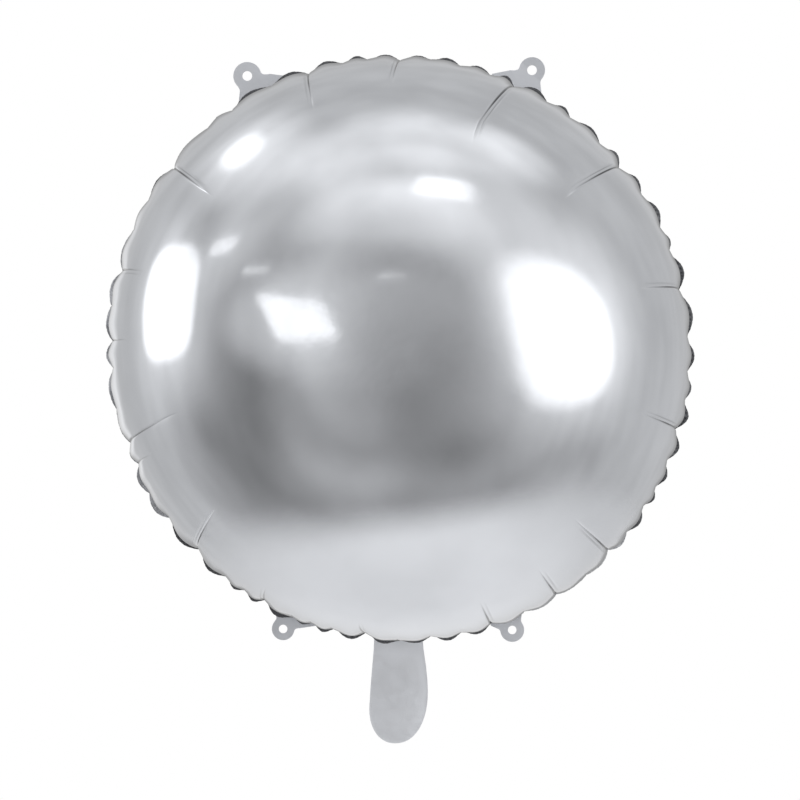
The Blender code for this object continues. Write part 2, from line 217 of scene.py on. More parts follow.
def panel_light(tree, looking, panel, narrows):
    """What a panel adds to the room's brightness in each direction."""
    middle, half_width, half_height, turned, leans, squareness, feather, strength = panel
    middle = Vector(middle).normalized()
    side = Vector((0, 0, 1)).cross(middle).normalized()
    up = middle.cross(side)
    turn = math.radians(turned)
    across = (side * math.cos(turn) + up * math.sin(turn)) * half_width
    upright = (up + side * math.tan(math.radians(leans))) * half_height
    to_across, to_upright, to_middle = Matrix((across, upright, middle)).transposed().inverted()
    places = [measure(tree, looking, way) for way in (to_across, to_upright)]
    if narrows:
        height_here = math_node(tree, "SUBTRACT", 1, math_node(tree, "MULTIPLY", places[0], narrows))
        places[1] = math_node(tree, "DIVIDE", places[1], height_here)
    powers = [
        math_node(tree, "POWER", math_node(tree, "ABSOLUTE", place, 0), squareness) for place in places
    ]
    off_middle = math_node(tree, "POWER", math_node(tree, "ADD", *powers), 1 / squareness)
    light = ease(tree, off_middle, (1 - feather, 1 + feather), strength, 0)
    ahead = math_node(tree, "GREATER_THAN", measure(tree, looking, to_middle), 0.0)
    return math_node(tree, "MULTIPLY", light, ahead)


def unevenness_of_walls(tree, looking):
    """A factor near 1 that stands for the things in the room, blurred and drawn out upwards."""
    drawn_up = vector_node(tree, "MULTIPLY", looking, CLUTTER_DRAWN_UP)["Vector"]
    clutter = tree.nodes.new("ShaderNodeTexNoise")
    clutter.inputs["Scale"].default_value = CLUTTER_FINENESS
    clutter.inputs["Detail"].default_value = CLUTTER_DETAIL
    add_link(tree, drawn_up, clutter.inputs["Vector"])
    return ease(tree, clutter.outputs["Fac"], NOISE_SPAN, 1 - CLUTTER, 1 + CLUTTER)


world = bpy.data.worlds.new("studio room")
bpy.context.scene.world = world
world.use_nodes = True
room = world.node_tree
looking = room.nodes.new("ShaderNodeTexCoord").outputs["Generated"]
to_front = measure(room, looking, (0, -1, 0))
sides = ease(room, to_front, BACKDROP_ENDS, BACKDROP, ROOM_SIDES)
dimmed = ease(room, to_front, FRONT_DIMS, 0, ROOM_FRONT - ROOM_SIDES)
brightness = math_node(room, "ADD", sides, dimmed)
for name, *panel in PANELS:
    narrows = WINDOW_NARROWS if name == "window" else 0
    brightness = math_node(room, "ADD", brightness, panel_light(room, looking, panel, narrows))
brightness = math_node(room, "MULTIPLY", brightness, unevenness_of_walls(room, looking))
ray = room.nodes.new("ShaderNodeLightPath")
seen = room.nodes.new("ShaderNodeMix")
seen.data_type = "FLOAT"
seen.inputs["B"].default_value = 1.0
add_link(room, ray.outputs["Is Camera Ray"], seen.inputs["Factor"])
add_link(room, brightness, seen.inputs["A"])
add_link(room, seen.outputs["Result"], room.nodes["Background"].inputs["Strength"])
room.nodes["Background"].inputs["Color"].default_value = (1, 1, 1, 1)

# Top light: a wide soft lamp right above, which lights the paper. The foil doesn't reflect it.
TOP_LIGHT_HEIGHT = 2.2
TOP_LIGHT_SIZE = 2.0
TOP_LIGHT_WATTS = 28

bpy.ops.object.light_add(type="AREA", location=(*FLOOR_CENTRE, TOP_LIGHT_HEIGHT))
top_light = bpy.context.object
top_light.name = "top light"
top_light.data.size = TOP_LIGHT_SIZE
top_light.data.energy = TOP_LIGHT_WATTS
top_light.visible_camera = False
top_light.visible_glossy = False

# Front sheet: metallised nylon film, cut as a flat disc 59 cm across and blown up by the gas, so that its
# middle is drum smooth and its rim, too long for the smaller circle, gathers into pleats. The weld holds the
# pleats. Between two pleats the rim bulges out in a bump.
RIM_RADIUS = 0.225
OVAL = 0.0019
OVAL_TOWARDS = 320
SHEET_SEAT = 0.0003
GROOVE_AT_SEAL = 0.0012
GROOVE_FADES_WITHIN = 0.003
SEAL_WAVE = 0.0022
WAVE_FADES_WITHIN = 0.014
PROFILE_STEPS = 6000

# Each pleat: angle, notch depth (mm), how far its broad valley and its sharp crease run in (mm along the
# film), how far the crease's inner end leans clockwise (degrees), the crease's own depth (mm), which side of
# it laps over (1 clockwise, -1 the other), and how far the seal stands out in the bump that follows (mm)
PLEATS = (
    (0.5, 4.5, 58, 83, -2.2, 2.4, 1, 1.5),
    (6.5, 1.4, 48, 36, 0.0, 0.6, 1, 1.7),
    (12.5, 2.9, 48, 36, 0.4, 0.8, -1, 1.6),
    (19.0, 3.8, 48, 36, 0.5, 0.8, 1, 2.3),
    (24.0, 5.4, 58, 129, -5.6, 2.6, -1, 2.5),
    (31.5, 3.8, 48, 36, 0.3, 1.0, 1, 2.1),
    (37.0, 3.8, 48, 36, -0.3, 0.8, -1, 2.0),
    (45.0, 4.3, 48, 40, 0.4, 1.2, 1, 2.0),
    (51.0, 6.4, 58, 122, -3.4, 3.1, 1, 2.1),
    (58.0, 3.8, 48, 36, -0.3, 1.0, -1, 2.7),
    (65.5, 3.4, 48, 36, -0.4, 1.2, 1, 1.7),
    (70.5, 3.8, 48, 36, 0.2, 0.8, 1, 2.8),
    (78.5, 5.6, 58, 101, -2.3, 2.7, 1, 2.9),
    (88.0, 4.3, 48, 36, 0.0, 1.0, -1, 2.1),
    (95.0, 4.3, 48, 36, 0.3, 1.0, 1, 2.0),
    (100.5, 3.1, 48, 36, 0.2, 0.6, -1, 2.8),
    (106.5, 5.6, 58, 101, -1.2, 2.5, 1, 2.9),
    (113.0, 4.3, 48, 36, 0.2, 1.0, 1, 2.0),
    (118.5, 3.1, 48, 36, 0.0, 0.6, -1, 2.0),
    (123.0, 4.7, 48, 36, -0.2, 1.2, 1, 2.1),
    (129.0, 2.5, 48, 36, 0.2, 0.6, 1, 1.7),
    (134.0, 4.3, 58, 103, 0.5, 2.3, -1, 0.4),
    (140.5, 1.4, 48, 36, 0.0, 0.4, 1, 0.4),
    (147.5, 2.9, 58, 87, 0.5, 2.1, 1, 0.5),
    (154.5, 3.3, 48, 36, 0.3, 0.8, -1, 0.6),
    (161.5, 3.9, 58, 83, 1.0, 2.1, 1, 1.7),
    (167.5, 3.1, 48, 36, 0.0, 0.8, -1, 2.0),
    (173.5, 3.9, 48, 36, 0.4, 1.0, 1, 1.3),
    (180.0, 0.8, 48, 36, 0.0, 0.6, -1, 2.2),
    (186.5, 5.6, 58, 62, 2.2, 2.1, 1, 2.1),
    (193.0, 3.4, 48, 36, -0.3, 0.8, -1, 2.1),
    (197.5, 2.9, 48, 36, 0.0, 0.6, 1, 1.2),
    (201.6, 1.6, 48, 36, 0.0, 0.6, 1, 3.0),
    (208.0, 4.7, 58, 62, 1.2, 2.0, -1, 2.0),
    (212.5, 2.9, 48, 36, 0.2, 0.8, 1, 1.9),
    (217.0, 3.4, 48, 36, -0.2, 0.8, -1, 2.0),
    (224.5, 6.1, 58, 101, 4.1, 2.9, -1, 2.1),
    (233.5, 4.7, 48, 36, 0.4, 1.0, 1, 3.0),
    (240.0, 1.4, 48, 36, 0.0, 0.4, 1, 2.8),
    (246.0, 4.5, 58, 74, 0.9, 1.2, -1, 0.5),
    (250.5, 4.9, 58, 113, 2.9, 1.6, 1, 0.4),
    (258.0, 1.4, 48, 36, 0.0, 0.4, -1, 1.6),
    (266.0, 4.7, 48, 44, 0.4, 1.5, 1, 2.2),
    (271.5, 4.3, 58, 74, 0.1, 1.5, -1, 1.6),
    (278.5, 1.4, 48, 36, 0.0, 0.4, 1, 2.6),
    (285.5, 4.9, 58, 80, 1.0, 1.9, 1, 0.5),
    (294.0, 2.5, 48, 36, 0.2, 0.8, -1, 0.4),
    (300.5, 2.5, 48, 36, -0.2, 0.8, 1, 0.6),
    (308.5, 5.2, 58, 106, 0.2, 2.5, -1, 0.5),
    (319.0, 2.5, 48, 36, 0.0, 0.6, 1, 0.5),
    (325.0, 3.9, 48, 40, -1.6, 1.8, 1, 2.2),
    (334.0, 2.0, 48, 36, 0.0, 0.6, -1, 2.4),
    (342.0, 4.3, 58, 94, -1.9, 2.4, 1, 2.6),
    (349.0, 2.9, 48, 36, 0.3, 0.8, -1, 1.8),
    (354.0, 2.5, 48, 36, 0.0, 0.6, 1, 1.5),
)
NOTCH_WIDTH = 0.0055
NOTCH_SHARE = 0.72
NOTCH_TAPER = 1.25

# Where the tabs and the neck keep the seal flat
HELD_FLAT_AT = (330.8, 25.4, 158.2, 202.6, 180.0)
HELD_FLAT_WITHIN = 9

# Creases: the sharp lines, steep on the side that laps over and gentle on the other. Along each, painted
# shade darkens the film's colour. Where one begins, where it ends and where its painted shade lies are shares
# of its reach.
LEAN_WITHIN = 0.11
LEAN_GROWS = 1.4
LONG_CREASE = 0.050
CREASE_STEEP_SIDE = 0.00045
CREASE_GENTLE_SIDE = 0.0010
CREASE_BEGINS = (-0.06, 0.09)
CREASE_ENDS = (0.30, 1.00)
PAINTED_SHADE_BEGINS = (-0.15, 0.15)
PAINTED_SHADE_ENDS = (0.62, 0.92)
CREASE_PAINTED_DARKEST_AT = 0.0021
FOLD_SHADE_WIDTH = 0.00043
FOLD_SHADE_SWELLS = 0.5

# The deep ones have a second, fainter line beside their gentle side: a shallow groove with lighter painted
# shade
SECOND_LINE_FROM = 0.0018
SECOND_LINE_AWAY = 0.0026
SECOND_LINE_DEPTH = 0.0005
SECOND_LINE_PAINTED_SHADE = 0.45
SECOND_LINE_BEGINS = (0.35, 0.55)
SECOND_LINE_ENDS = (0.70, 0.95)

# Slow waves of the film, away from the seal
UNEVENNESS = 0.000015
UNEVEN_SIZES = (0.055, 0.085, 0.13)
WAVES_OF_A_SIZE = 4
WHOLE_TURN = 6.28
EVEN_AT_SEAL_WITHIN = 0.03
FRONT_SEED = 11

# The grid of film, with its columns crowded at the pleats and its rows at the rim
SHEET_ROWS = 72
ROW_CROWDING = 1.5
COLUMNS_A_BUMP = 24
COLUMN_CROWDING = 3
FINEST_COLUMN = 0.00030
MEETING_WITHIN = 0.0000001

(
    pleat_angle, notch_depth, valley_reach, crease_reach, crease_lean, crease_depth, crease_lap, seal_out
) = np.array(PLEATS).T
notch_depth, valley_reach, crease_reach, crease_depth, seal_out = (
    values / MILLIMETRES for values in (notch_depth, valley_reach, crease_reach, crease_depth, seal_out)
)
bump_width = (np.roll(pleat_angle, -1) - pleat_angle) % 360


def rise(value, start, end):
    """0 up to start, 1 from end on, and straight between."""
    return np.clip((value - start) / (end - start), 0, 1)


def even_leans(reach, lean):
    """How far each pleat's line has leant at LEAN_WITHIN. Short ones lean with the long ones beside them."""
    long = reach > LONG_CREASE
    leant = lean[long] * (LEAN_WITHIN / reach[long]) ** LEAN_GROWS
    return np.interp(pleat_angle, pleat_angle[long], leant, period=360)


def filled_film():
    """The smooth filled shape from rim to pole: distance along the film, radius, height and the normal's
    angle from the axis. Film that wrinkles freely but can't stretch takes the curve on which the radius
    squared goes with the sine of that angle."""
    edges = np.linspace(math.pi / 2, 0, PROFILE_STEPS + 1)
    middles = (edges[1:] + edges[:-1]) / 2
    step = math.pi / 2 / PROFILE_STEPS
    along = np.concatenate([[0], np.cumsum(RIM_RADIUS / 2 * step / np.sqrt(np.sin(middles)))])
    height = np.concatenate([[0], np.cumsum(RIM_RADIUS / 2 * step * np.sqrt(np.sin(middles)))])
    return along, RIM_RADIUS * np.sqrt(np.sin(edges)), height, edges


film_along, film_radius, film_height, film_lean = filled_film()


def bump_shape(across):
    """0 at a pleat and 1 in the middle of the bump between two."""
    return np.sin(math.pi * across)


def valley_depth(bump, across, radius, along):
    """How far the pleats beside a bump draw the film in: a narrow notch that widens and fades inwards."""
    arc = np.radians(bump_width[bump]) * radius
    hollow = (1 + np.cos(2 * math.pi * across)) / 2
    depth = 0
    for k, near in ((bump, 1 - across), ((bump + 1) % len(pleat_angle), across)):
        share = np.clip(along / valley_reach[k], 0, 1)
        fades = (1 + np.cos(math.pi * share)) / 2
        notch = np.exp(-(((1 - near) * arc / NOTCH_WIDTH) ** NOTCH_TAPER))
        mix = NOTCH_SHARE * (1 - share)
        depth = depth + notch_depth[k] * fades * (notch * mix + hollow * near * (1 - mix))
    return depth


def oval(angle):
    """How far the rim is off a true circle."""
    return OVAL * np.cos(2 * np.radians(angle - OVAL_TOWARDS))


def is_held_flat(bump):
    """True for the bumps that a tab or the neck keeps in the plane of the seal."""
    flat = np.zeros(len(bump), bool)
    for spot in HELD_FLAT_AT:
        for edge in (pleat_angle[bump], pleat_angle[(bump + 1) % len(pleat_angle)]):
            flat |= np.abs((edge - spot + 180) % 360 - 180) < HELD_FLAT_WITHIN
    return flat


def seal_wave(bump, across):
    """How far the seal swings forward or back, turn about from bump to bump."""
    swing = SEAL_WAVE * (-1.0) ** bump * bump_shape(across)
    return np.where(is_held_flat(bump), 0, swing)


def fold_lines(along, bump, across, arc, creases):
    """How deep the creases on both sides of a bump draw the film in, and how much painted shade darkens them.
    """
    reach, _, line, lap = creases
    after = (bump + 1) % len(pleat_angle)
    depth = 0
    shade = 0
    for k, away, facing in ((bump, across * arc, 1), (after, (1 - across) * arc, -1)):
        steep = lap[k] == facing
        share = along / reach[k]
        runs = rise(share, *CREASE_BEGINS) * (1 - rise(share, *CREASE_ENDS))
        width = np.where(steep, CREASE_STEEP_SIDE, CREASE_GENTLE_SIDE)
        depth = depth + line[k] * runs * np.exp(-away / width)

        dark = np.clip(line[k] / CREASE_PAINTED_DARKEST_AT, 0, 1)
        shaded = rise(share, *PAINTED_SHADE_BEGINS) * (1 - rise(share, *PAINTED_SHADE_ENDS))
        shade_width = FOLD_SHADE_WIDTH * (1 + FOLD_SHADE_SWELLS * np.sin(math.pi * np.clip(share, 0, 1)))
        shade = shade + dark * shaded * np.exp(-((away / shade_width) ** 2))

        second = rise(share, *SECOND_LINE_BEGINS) * (1 - rise(share, *SECOND_LINE_ENDS))
        second = second * np.where(steep, 0, 1) * (line[k] > SECOND_LINE_FROM)
        second = second * np.exp(-(((away - SECOND_LINE_AWAY) / FOLD_SHADE_WIDTH) ** 2))
        depth = depth + SECOND_LINE_DEPTH * second
        shade = shade + SECOND_LINE_PAINTED_SHADE * dark * second
    return depth, shade


def round_axis(angle, radius, depth):
    """Points at rim angles and radii, each with its depth behind the rim's plane."""
    turn = np.radians(angle)
    return np.stack(np.broadcast_arrays(np.sin(turn) * radius, depth, np.cos(turn) * radius), axis=-1)


def uneven(points, seed):
    """A slow, gentle unevenness of the film, in metres."""
    rng = np.random.default_rng(seed)
    total = np.zeros(points.shape[:-1])
    for size in UNEVEN_SIZES:
        for _ in range(WAVES_OF_A_SIZE):
            way = rng.normal(size=3)
            way /= np.linalg.norm(way)
            phase = points @ way * 2 * math.pi / size + rng.uniform(0, WHOLE_TURN)
            total += UNEVENNESS * (size / UNEVEN_SIZES[1]) * np.sin(phase)
    return total


def film_points(side, along, bump, across, creases, seed):
    """Points of a sheet, and the painted shade of its folds at each: rows by distance along the film, columns
    by place round the rim. side is -1 in front."""
    along = along[:, None]
    radius = np.interp(along, film_along, film_radius)
    height = np.interp(along, film_along, film_height)
    leaning = np.interp(along, film_along, film_lean)

    lean = creases[1]
    full_lean = lean[bump] * (1 - across) + lean[(bump + 1) % len(pleat_angle)] * across
    angle = pleat_angle[bump] + bump_width[bump] * across
    angle = angle + full_lean * rise(along, 0, LEAN_WITHIN) ** LEAN_GROWS

    arc = np.radians(bump_width[bump]) * radius
    crease, shade = fold_lines(along, bump, across, arc, creases)
    smooth = round_axis(angle, radius, side * height)
    waves = uneven(smooth, seed) * rise(along, 0, EVEN_AT_SEAL_WITHIN)
    depth = valley_depth(bump, across, radius, along) + crease + waves

    groove = GROOVE_AT_SEAL * np.exp(-along / GROOVE_FADES_WITHIN) * bump_shape(across)
    out = radius - depth * np.sin(leaning) - groove + oval(angle) * radius / RIM_RADIUS
    swing = seal_wave(bump, across) * (1 - rise(along, 0, WAVE_FADES_WITHIN))
    seat = SHEET_SEAT * (1 - rise(height, 0, film_height[-1]))
    deep = np.clip(height - depth * np.cos(leaning), 0, None) + seat
    return round_axis(angle, out, side * deep + swing), shade


def shade_folds(piece, shade):
    """Stores the painted shade of each corner, 0 to 1, as the fold attribute that darkens the foil's colour
    where little light gets out.
    """
    fold = piece.data.attributes.new("fold", "FLOAT", "POINT")
    fold.data.foreach_set("value", np.clip(shade, 0, 1))


def select_none():
    for thing in bpy.context.selected_objects:
        thing.select_set(False)


def in_edit_mode(operator, **settings):
    """Runs one of edit mode's operators on the whole of the active piece."""
    bpy.ops.object.mode_set(mode="EDIT")
    bpy.ops.mesh.select_all(action="SELECT")
    operator(**settings)
    bpy.ops.object.mode_set(mode="OBJECT")


def corners_of(piece):
    flat = np.empty(len(piece.data.vertices) * 3)
    piece.data.vertices.foreach_get("co", flat)
    return flat.reshape(-1, 3)


def move_corners(piece, points):
    piece.data.vertices.foreach_set("co", np.asarray(points, float).ravel())
    piece.data.update()


def places_across(bump, step):
    """How far across its bump each column lies."""
    half = np.radians(bump_width[bump]) * RIM_RADIUS / 2
    steps = np.minimum(step, COLUMNS_A_BUMP - step)
    spare = half - FINEST_COLUMN * COLUMNS_A_BUMP / 2
    from_pleat = FINEST_COLUMN * steps + spare * (2 * steps / COLUMNS_A_BUMP) ** COLUMN_CROWDING
    return np.where(2 * step < COLUMNS_A_BUMP, from_pleat, 2 * half - from_pleat) / (2 * half)


def make_sheet(name, side, creases, seed):
    """A foil sheet: a grid of film laid round, its rows and columns worked into the filled, pleated shape."""
    columns = COLUMNS_A_BUMP * len(pleat_angle)
    select_none()
    bpy.ops.mesh.primitive_grid_add(x_subdivisions=columns, y_subdivisions=SHEET_ROWS, size=2)
    sheet = bpy.context.object
    sheet.name = name
    flat = corners_of(sheet)
    column = np.rint((flat[:, 0] + 1) / 2 * columns).astype(int) % columns
    row = np.rint((1 - side * flat[:, 1]) / 2 * SHEET_ROWS).astype(int)
    bump, step = np.divmod(np.arange(columns), COLUMNS_A_BUMP)
    along = film_along[-1] * (np.arange(SHEET_ROWS + 1) / SHEET_ROWS) ** ROW_CROWDING
    points, shade = film_points(side, along, bump, places_across(bump, step), creases, seed)
    points[-1] = points[-1].mean(axis=0)
    move_corners(sheet, points[row, column])
    # Painted shade along the creases, stored in the fold attribute
    shade_folds(sheet, shade[row, column])
    in_edit_mode(bpy.ops.mesh.remove_doubles, threshold=MEETING_WITHIN)
    bpy.ops.object.shade_smooth()
    return sheet


# Foil: bright metal film under a clear coat of polish, with fine crinkles and handling marks. Shade in its
# folds is painted into its colour, towards near black.
PAINTED_FOLD_SHADE_STRENGTH = 0.94
PAINTED_FOLD_SHADE_COLOUR = (0.01, 0.01, 0.012, 1)
COAT_ROUGHNESS = 0.03
COAT_IOR = 1.9
CLOUD_FINENESS = 9.0
CLOUD_DETAIL = 3
SMEAR_FINENESS = 160.0
SMEAR_DETAIL = 4
SMEAR_SPAN = (0.9, 1.15)
TONE_FINENESS = 24.0
TONE_DETAIL = 2
TONE_SPAN = (0.97, 1.02)
CRINKLE_DETAIL = 3
FILM_TAKES = (
    ("Place", "Vector"), ("Colour", "Color"), ("Roughness", "Float"), ("Roughness Change", "Float"),
    ("Crinkle Fineness", "Float"), ("Crinkle Height", "Float"),
)
FILM_GIVES = (("Colour", "Color"), ("Roughness", "Float"), ("Height", "Float"))


def film_crinkle_group():
    """Fine crinkles, handling marks and uneven polish of metallised film, from a place on it."""
    group = bpy.data.node_groups.new("film crinkle", "ShaderNodeTree")
    for way, sockets in (("INPUT", FILM_TAKES), ("OUTPUT", FILM_GIVES)):
        for name, kind in sockets:
            group.interface.new_socket(name, in_out=way, socket_type="NodeSocket" + kind)
    given = group.nodes.new("NodeGroupInput").outputs
    result = group.nodes.new("NodeGroupOutput").inputs

    def noise(fineness, detail):
        node = group.nodes.new("ShaderNodeTexNoise")
        node.inputs["Detail"].default_value = detail
        add_link(group, given["Place"], node.inputs["Vector"])
        if isinstance(fineness, float):
            node.inputs["Scale"].default_value = fineness
        else:
            add_link(group, fineness, node.inputs["Scale"])
        return node.outputs["Fac"]

    clouds = ease(group, noise(CLOUD_FINENESS, CLOUD_DETAIL), NOISE_SPAN, -1, 1)
    change = math_node(group, "MULTIPLY", clouds, given["Roughness Change"])
    smears = ease(group, noise(SMEAR_FINENESS, SMEAR_DETAIL), NOISE_SPAN, *SMEAR_SPAN)
    rough = math_node(group, "MULTIPLY", math_node(group, "ADD", given["Roughness"], change), smears)
    add_link(group, rough, result["Roughness"])

    crinkles = noise(given["Crinkle Fineness"], CRINKLE_DETAIL)
    height = math_node(group, "MULTIPLY", crinkles, given["Crinkle Height"])
    add_link(group, height, result["Height"])

    tone = ease(group, noise(TONE_FINENESS, TONE_DETAIL), NOISE_SPAN, *TONE_SPAN)
    grey = group.nodes.new("ShaderNodeCombineColor")
    for channel in ("Red", "Green", "Blue"):
        add_link(group, tone, grey.inputs[channel])
    tint = group.nodes.new("ShaderNodeMix")
    tint.data_type = "RGBA"
    tint.blend_type = "MULTIPLY"
    tint.inputs["Factor"].default_value = 1
    add_link(group, given["Colour"], tint.inputs["A"])
    add_link(group, grey.outputs["Color"], tint.inputs["B"])
    add_link(group, tint.outputs["Result"], result["Colour"])
    return group


film_crinkle = film_crinkle_group()


def foil_material(name, colour, roughness, change, crinkle_fineness, crinkle_height, coat):
    material = bpy.data.materials.new(name)
    material.use_nodes = True
    tree = material.node_tree
    shader = tree.nodes["Principled BSDF"]
    shader.inputs["Metallic"].default_value = 1
    shader.inputs["Coat Weight"].default_value = coat
    shader.inputs["Coat Roughness"].default_value = COAT_ROUGHNESS
    shader.inputs["Coat IOR"].default_value = COAT_IOR

    film = tree.nodes.new("ShaderNodeGroup")
    film.node_tree = film_crinkle
    film.inputs["Colour"].default_value = (*colour, 1)
    film.inputs["Roughness"].default_value = roughness
    film.inputs["Roughness Change"].default_value = change
    film.inputs["Crinkle Fineness"].default_value = crinkle_fineness
    film.inputs["Crinkle Height"].default_value = crinkle_height
    place = tree.nodes.new("ShaderNodeTexCoord").outputs["Object"]
    add_link(tree, place, film.inputs["Place"])
    add_link(tree, film.outputs["Roughness"], shader.inputs["Roughness"])

    # Painted shade: the fold attribute mixes the colour towards near black in the creases and along the seal.
    fold = tree.nodes.new("ShaderNodeAttribute")
    fold.attribute_name = "fold"
    painted_fold_shade = tree.nodes.new("ShaderNodeMix")
    painted_fold_shade.data_type = "RGBA"
    painted_fold_shade.inputs["B"].default_value = PAINTED_FOLD_SHADE_COLOUR
    painted_shade_amount = math_node(tree, "MULTIPLY", fold.outputs["Fac"], PAINTED_FOLD_SHADE_STRENGTH)
    add_link(tree, painted_shade_amount, painted_fold_shade.inputs["Factor"])
    add_link(tree, film.outputs["Colour"], painted_fold_shade.inputs["A"])
    add_link(tree, painted_fold_shade.outputs["Result"], shader.inputs["Base Color"])

    bump = tree.nodes.new("ShaderNodeBump")
    bump.inputs["Distance"].default_value = 1
    add_link(tree, film.outputs["Height"], bump.inputs["Height"])
    add_link(tree, bump.outputs["Normal"], shader.inputs["Normal"])
    return material


filled_foil = foil_material(
    "filled foil", colour=(0.685, 0.702, 0.737), roughness=0.10, change=0.03,
    crinkle_fineness=45.0, crinkle_height=0.00005, coat=0.6,
)

front_creases = (crease_reach, even_leans(crease_reach, crease_lean), crease_depth, crease_lap)
front_foil = make_sheet("front_foil", -1, front_creases, FRONT_SEED)
front_foil.data.materials.append(filled_foil)
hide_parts("front_sheet")
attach(front_foil, "envelope")

# Back sheet: the second disc of the same film. It shares the notches of the weld, but its long creases fall
# elsewhere, as each sheet finds its own folds.
BACK_CREASES_SEED = 7
BACK_SEED = 23
BACK_LONG_CREASES = 17
BACK_LONG_REACH = (0.06, 0.11)
BACK_SHORT_REACH = (0.022, 0.034)
BACK_LEAN = (-2.0, 2.0)
BACK_LONG_DEPTH = (0.0020, 0.0036)
BACK_SHORT_DEPTH = 0.0008


def draw_back_creases():
    """Reach, lean, depth and lapping side of the back sheet's crease at each pleat."""
    rng = np.random.default_rng(BACK_CREASES_SEED)
    pleats = len(pleat_angle)
    is_long = rng.permutation(pleats) < BACK_LONG_CREASES
    long_reach = rng.uniform(*BACK_LONG_REACH, pleats)
    short_reach = rng.uniform(*BACK_SHORT_REACH, pleats)
    reach = np.where(is_long, long_reach, short_reach)
    lean = even_leans(reach, rng.uniform(*BACK_LEAN, pleats))
    depth = np.where(is_long, rng.uniform(*BACK_LONG_DEPTH, pleats), BACK_SHORT_DEPTH)
    lap = rng.choice([-1, 1], pleats)
    return reach, lean, depth, lap


back_foil = make_sheet("back_foil", 1, draw_back_creases(), BACK_SEED)
back_foil.data.materials.append(filled_foil)
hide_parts("back_sheet")
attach(back_foil, "envelope")

# Rim seal: the two sheets' margins, welded flat by a hot ring and cut to a 5 mm edge. Between the pleats it
# stands out of the groove, wavy and puckered by the crimp; at each pleat it is drawn in and folded away.
SEAL_COLUMNS = 2200
SEAL_ROWS = 7
SEAL_TUCKED_IN = 0.0035
SEAL_AT_PLEAT = 0.0004
SEAL_THICKNESS = 0.00016

# The seal's colour gets painted shade: dark in the groove, and painted lighter in the stretches that face a
# bright wall, which also stand out more evenly. Its ends, where it goes under the film, get darker painted
# shade.
LIT_STRETCHES = ((230, 290), (126, 156))
SEAL_PAINTED_SHADE = 0.87
SEAL_PAINTED_LIGHTER = 0.22
SEAL_LENS = 1.3
LIT_SEAL_LENS = 0.6
SEAL_ENDS_PAINTED_SHADE = 0.3
SEAL_ENDS_TAPER = 4

# Its puckers, waves and the grain of the crimp
PUCKER = 0.012
PUCKER_SIZES = (0.0021, 0.0034, 0.0062)
PUCKER_SKEW = 3
PUCKER_SEED = 5
PUCKERS_PAST_RIM = 0.002
HELD_FLAT_PUCKER = 0.35
EDGE_WOBBLE = 0.00006
EDGE_WOBBLE_FEWER = 60
SEAL_TILT = 0.0012
TILT_WAVES = 23
TILT_START = 1.0
GRAIN = 0.13
GRAIN_WAVES = 611
GRAIN_DRIFT = 9
GRAIN_DRIFT_WAVES = 37
GRAIN_ROWS = 7


def bumps_under(angle):
    """The bump that holds each rim angle, and how far across it the angle lies."""
    count = len(pleat_angle)
    bump = (np.searchsorted(pleat_angle, angle % 360, side="right") - 1) % count
    return bump, ((angle - pleat_angle[bump]) % 360) / bump_width[bump]


def rim_of(bump, across, angle):
    """The radius at which the sheets meet the seal."""
    valley = valley_depth(bump, across, RIM_RADIUS, 0.0)
    return RIM_RADIUS + oval(angle) - valley - GROOVE_AT_SEAL * bump_shape(across)


def is_lit(bump):
    """True for the bumps that lie in a lit stretch."""
    lit = np.zeros(len(bump), bool)
    for first, last in LIT_STRETCHES:
        lit |= (pleat_angle[bump] > first) & (pleat_angle[bump] < last)
    return lit


def crimp_waves(turn, outwards):
    """The crimp's puckers and the wobble of the cut edge."""
    rng = np.random.default_rng(PUCKER_SEED)
    pucker = 0
    wobble = 0
    for size in PUCKER_SIZES:
        waves = np.rint(2 * math.pi * RIM_RADIUS / size)
        phase = rng.uniform(0, WHOLE_TURN)
        skew = rng.uniform(-PUCKER_SKEW, PUCKER_SKEW)
        pucker = pucker + size * np.sin(turn * waves + phase + skew * outwards)
        wobble = wobble + np.sin(turn * (waves - EDGE_WOBBLE_FEWER) + 2 * phase)
    return pucker, wobble


def thicken(piece, thickness):
    solid = piece.modifiers.new("film", "SOLIDIFY")
    solid.thickness = thickness
    solid.offset = 0
    bpy.context.view_layer.objects.active = piece
    bpy.ops.object.modifier_apply(modifier=solid.name)


